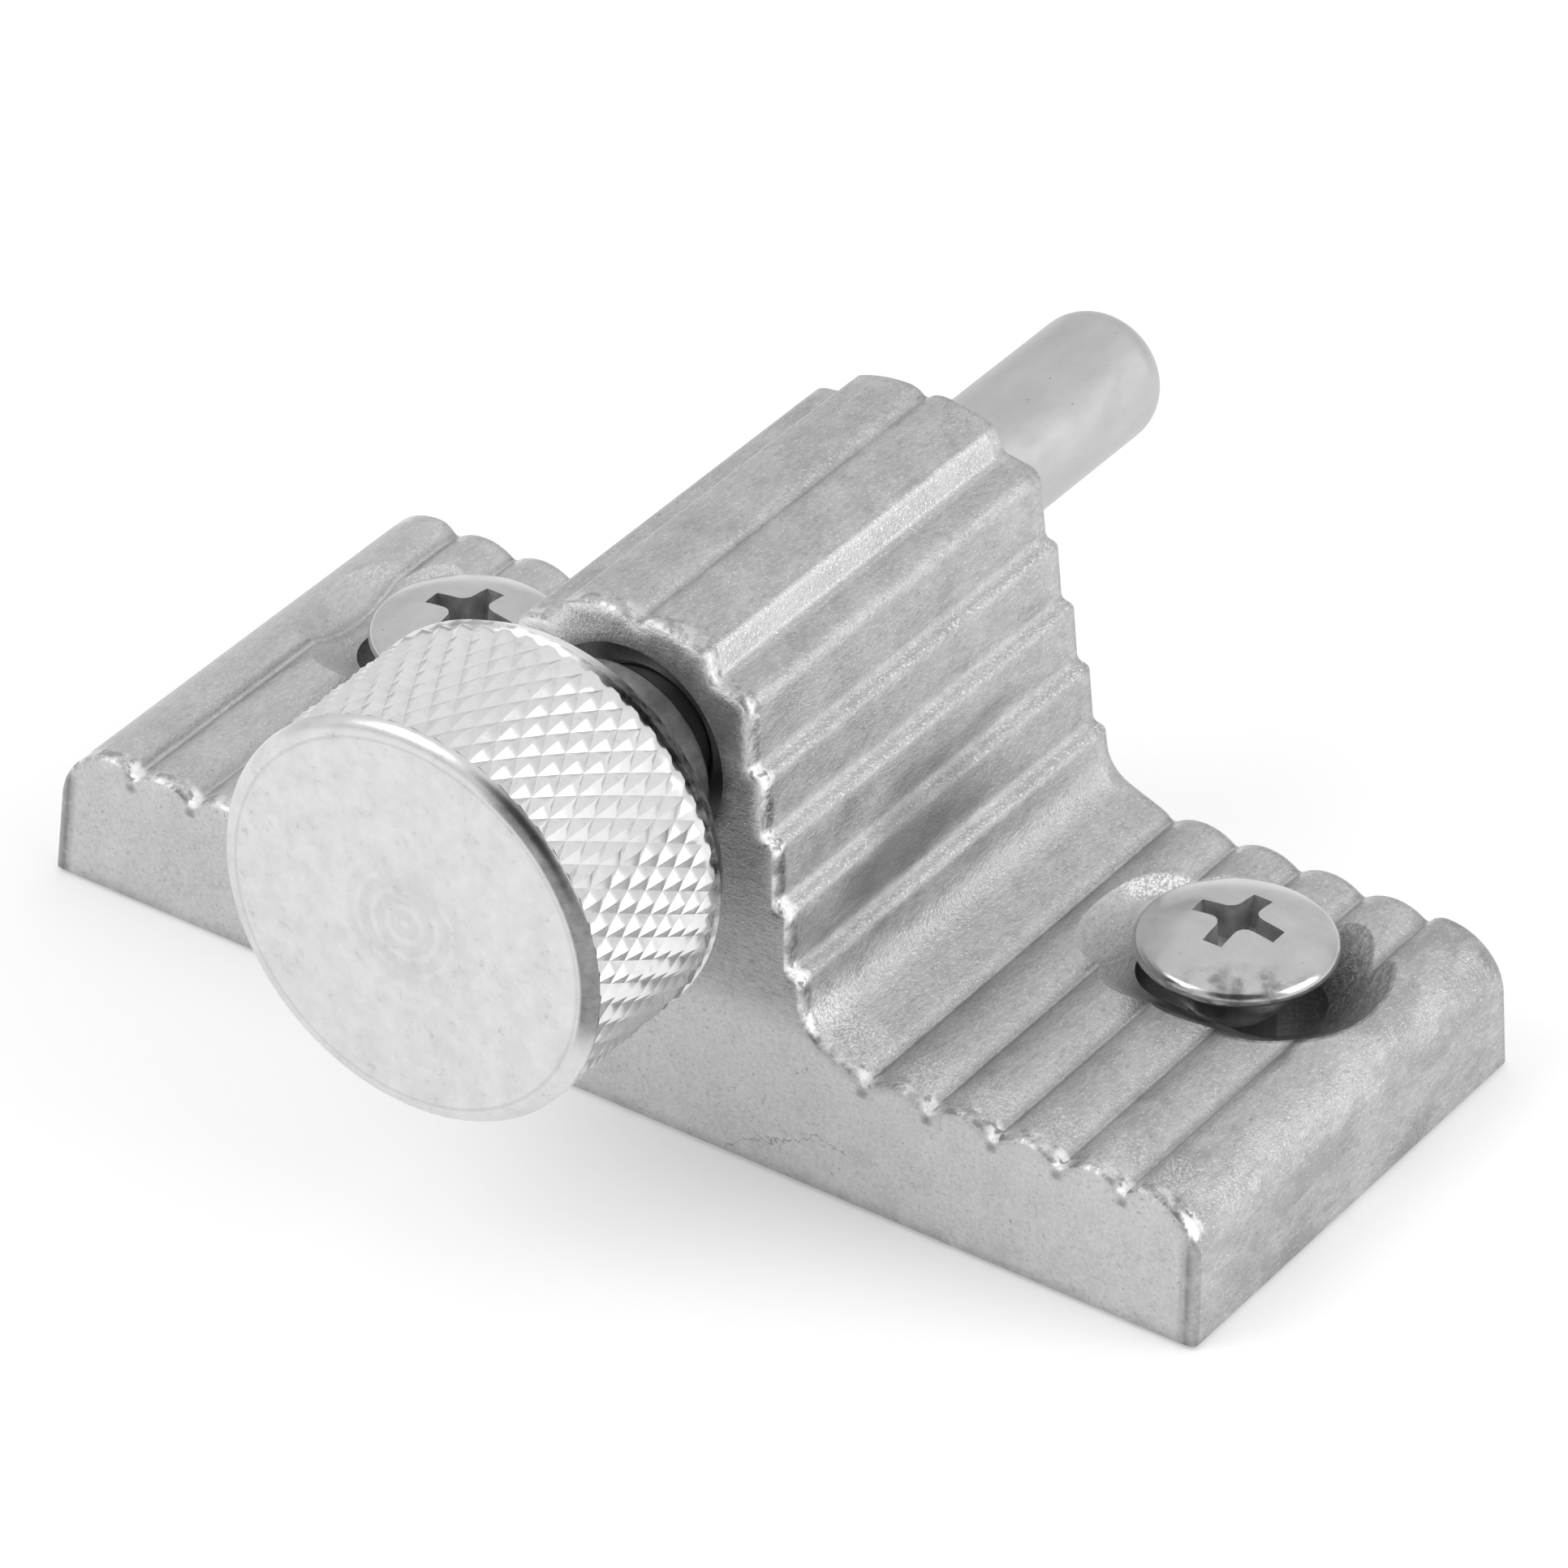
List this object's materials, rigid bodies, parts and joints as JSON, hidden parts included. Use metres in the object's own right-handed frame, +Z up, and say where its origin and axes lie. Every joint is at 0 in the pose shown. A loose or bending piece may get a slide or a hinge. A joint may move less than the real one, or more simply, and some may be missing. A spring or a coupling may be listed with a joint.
{
  "type": "sliding patio door bolt lock",
  "caption": "Surface-mounted patio door lock: a stepped cast housing on a ribbed foot, with a spring-loaded round bolt drawn back by a knurled knob.",
  "frame": {"origin": "middle of the foot's flat underside", "axes": "+X along the foot, +Y the way the bolt points, away from the knob, +Z up from the door frame"},
  "size_m": [0.06, 0.0541, 0.0356],
  "materials": {
    "casting": "as-cast satin, brighter on the ridges",
    "knob": "turned bright, diamond knurl round the rim",
    "bolt": "ground and plated, smooth satin",
    "screws": "bright plated",
    "bushing": "sintered, dark oiled",
    "spring": "drawn wire",
    "washer": "stamped",
    "ring": "stamped, dark oiled"
  },
  "bodies": {
    "housing": {"body_casting": "casting", "guide_bushing": "bushing", "compression_spring": "spring", "mounting_screw_right": "screws", "mounting_screw_left": "screws"},
    "carriage": {"thrust_washer": "washer"},
    "bolt": {"bolt_pin": "bolt", "retaining_ring": "ring", "pull_knob": "knob"}
  },
  "joints": [
    {"name": "bolt_slide", "type": "slide", "parent": "housing", "child": "carriage", "axis": [0, -1, 0], "range_m": [0, 0.01], "stiffness_N_per_m": 1500, "springref_m": -0.005, "deforming": ["compression_spring"]},
    {"name": "bolt_turn", "type": "hinge", "parent": "carriage", "child": "bolt", "pos_m": [0, 0, 0.01765], "axis": [0, 1, 0], "continuous": true}
  ]
}
